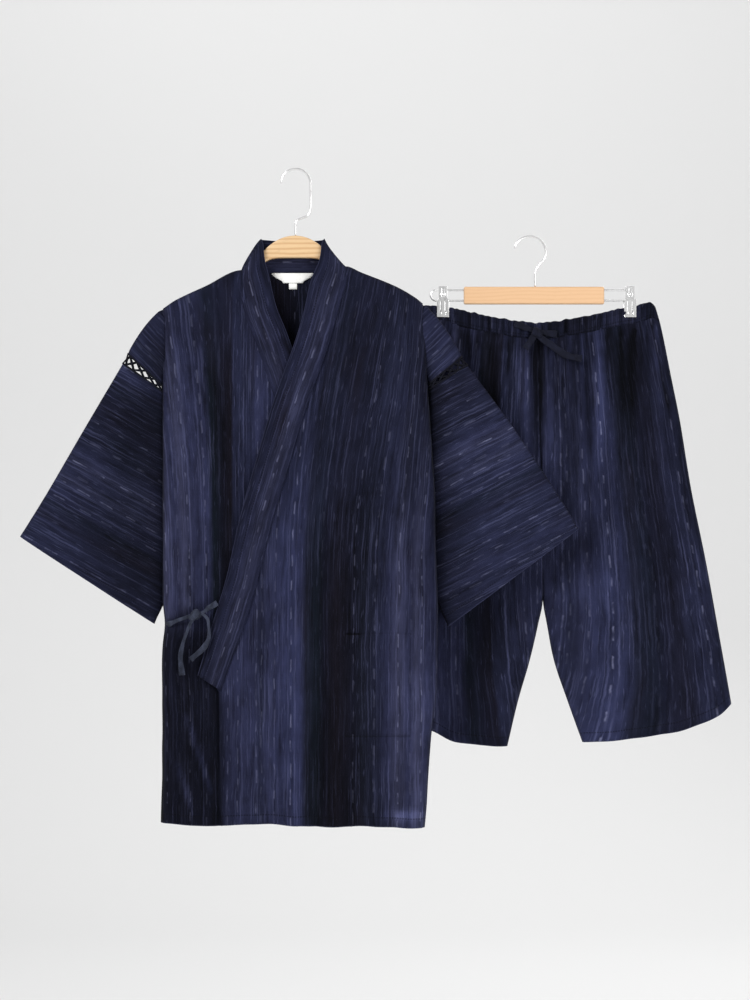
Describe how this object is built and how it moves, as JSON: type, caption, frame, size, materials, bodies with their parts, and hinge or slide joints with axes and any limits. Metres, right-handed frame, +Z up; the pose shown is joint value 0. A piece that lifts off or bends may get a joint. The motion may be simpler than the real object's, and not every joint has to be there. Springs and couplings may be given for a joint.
{
  "type": "jinbei set on hangers",
  "caption": "Short-sleeved wrap jacket with openwork shoulder joins, tied at the side, beside its drawstring shorts; each hangs flat on its own hanger.",
  "frame": {"origin": "the inner top of the jacket hanger's hook, where the peg or rail that holds it touches the wire", "axes": "+X to the wearer's left, along the shoulders; +Y to the wearer's back; +Z up. The front of both garments faces -Y"},
  "size_m": [0.9683, 0.0973, 0.8887],
  "materials": {
    "striped_cloth": "slubbed cotton and linen weave, matt, dark indigo with soft lengthwise stripes and short pale dashes",
    "openwork": "crossed dark threads with see-through diamonds between them",
    "tie_cloth": "plain greyed flat tape, matt",
    "drawstring_cloth": "the suit's own cloth folded to a flat cord, matt",
    "label_cloth": "bare white woven tape",
    "hanger_wood": "pale smooth wood, satin varnish",
    "bar_wood": "warm pale wood, satin varnish",
    "hanger_steel": "bright plated steel wire and sheet"
  },
  "bodies": {
    "root": {"drawstring_knot": "drawstring_cloth", "drawstring_left": "drawstring_cloth", "drawstring_right": "drawstring_cloth", "drawstring_tail_left": "drawstring_cloth", "drawstring_tail_right": "drawstring_cloth", "jacket_back": "striped_cloth", "jacket_collar": "striped_cloth", "jacket_front_left": "striped_cloth", "jacket_front_right": "striped_cloth", "jacket_hanger": "hanger_wood", "jacket_hanger_hook": "hanger_steel", "jacket_pocket": "striped_cloth", "jacket_sleeve_cap_left": "striped_cloth", "jacket_sleeve_cap_right": "striped_cloth", "jacket_sleeve_lattice_left": "openwork", "jacket_sleeve_lattice_right": "openwork", "jacket_sleeve_left": "striped_cloth", "jacket_sleeve_right": "striped_cloth", "jacket_tie_collar": "tie_cloth", "jacket_tie_knot": "tie_cloth", "jacket_tie_side": "tie_cloth", "jacket_tie_tail_collar": "tie_cloth", "jacket_tie_tail_side": "tie_cloth", "neck_label": "label_cloth", "neck_size_tab": "label_cloth", "trouser_back_left": "striped_cloth", "trouser_back_right": "striped_cloth", "trouser_clip_left": "hanger_steel", "trouser_clip_right": "hanger_steel", "trouser_front_left": "striped_cloth", "trouser_front_right": "striped_cloth", "trouser_hanger_bar": "bar_wood", "trouser_hanger_hook": "hanger_steel", "trouser_rod_loop": "hanger_steel", "trouser_rod_lower_left": "hanger_steel", "trouser_rod_lower_right": "hanger_steel", "trouser_rod_upper_left": "hanger_steel", "trouser_rod_upper_right": "hanger_steel", "trouser_waist_casing": "striped_cloth"}
  },
  "joints": []
}
